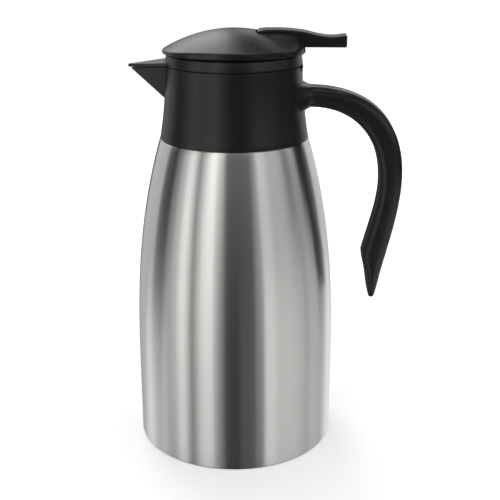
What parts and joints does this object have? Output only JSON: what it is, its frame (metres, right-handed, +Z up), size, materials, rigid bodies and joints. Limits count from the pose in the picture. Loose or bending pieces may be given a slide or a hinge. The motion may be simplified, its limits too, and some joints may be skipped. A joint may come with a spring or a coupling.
{
  "type": "vacuum carafe",
  "caption": "Double-walled steel vacuum carafe with a black collar and spout, a side handle, a hinged domed lid and a thumb lever that lifts a pouring valve.",
  "frame": {"origin": "centre of the base, on the surface the carafe stands on", "axes": "+Z up along the body's axis, the spout towards -X, the handle and the lever's tail towards +X"},
  "size_m": [0.1662, 0.125, 0.2613],
  "materials": {
    "outer_shell": "steel brushed up and down, satin",
    "inner_flask": "plain drawn steel",
    "base_plate": "turned steel",
    "vacuum_port_cap": "plain steel",
    "foot_ring": "matt black rubber",
    "neck_collar": "satin black plastic",
    "mouth_seal": "grey silicone",
    "handle": "satin black plastic",
    "handle_screw_upper": "bright steel",
    "handle_screw_lower": "bright steel",
    "hinge_pin": "bright steel",
    "lid_ring": "satin black plastic",
    "lid_gasket": "black silicone",
    "dome_cover": "satin black plastic",
    "dome_screw_left": "bright steel",
    "dome_screw_right": "bright steel",
    "plug_body": "matt black plastic",
    "plug_seal": "grey silicone",
    "stem_bushing": "pale plastic",
    "lever_pin": "bright steel",
    "thumb_lever": "satin black plastic",
    "valve_stem": "bright steel",
    "valve_disc": "matt black plastic",
    "valve_seal": "grey silicone",
    "stem_clip": "bright steel",
    "return_spring": "bright spring steel"
  },
  "bodies": {
    "jug": {"outer_shell": "outer_shell", "inner_flask": "inner_flask", "base_plate": "base_plate", "vacuum_port_cap": "vacuum_port_cap", "foot_ring": "foot_ring", "neck_collar": "neck_collar", "mouth_seal": "mouth_seal", "handle": "handle", "handle_screw_upper": "handle_screw_upper", "handle_screw_lower": "handle_screw_lower", "hinge_pin": "hinge_pin"},
    "flip_lid": {"lid_ring": "lid_ring", "lid_gasket": "lid_gasket", "dome_cover": "dome_cover", "dome_screw_left": "dome_screw_left", "dome_screw_right": "dome_screw_right", "plug_body": "plug_body", "plug_seal": "plug_seal", "stem_bushing": "stem_bushing", "lever_pin": "lever_pin", "return_spring": "return_spring"},
    "lever": {"thumb_lever": "thumb_lever"},
    "pour_valve": {"valve_stem": "valve_stem", "valve_disc": "valve_disc", "valve_seal": "valve_seal", "stem_clip": "stem_clip"}
  },
  "joints": [
    {"name": "lid_flip", "type": "hinge", "parent": "jug", "child": "flip_lid", "pos_m": [0.0394, 0, 0.24], "axis": [0, 1, 0], "range_deg": [0, 44]},
    {"name": "lever_press", "type": "hinge", "parent": "flip_lid", "child": "lever", "pos_m": [0.026, 0, 0.2545], "axis": [0, 1, 0], "range_deg": [0, 7], "stiffness_Nm_per_rad": 0.02, "springref_deg": -8.59},
    {"name": "valve_lift", "type": "slide", "parent": "flip_lid", "child": "pour_valve", "axis": [0, 0, 1], "range_m": [0, 0.0032], "deforming": ["return_spring"]}
  ],
  "couplings": [
    {"joint": "lever_press", "follows": "valve_lift", "rad_per_m": 38.17}
  ]
}
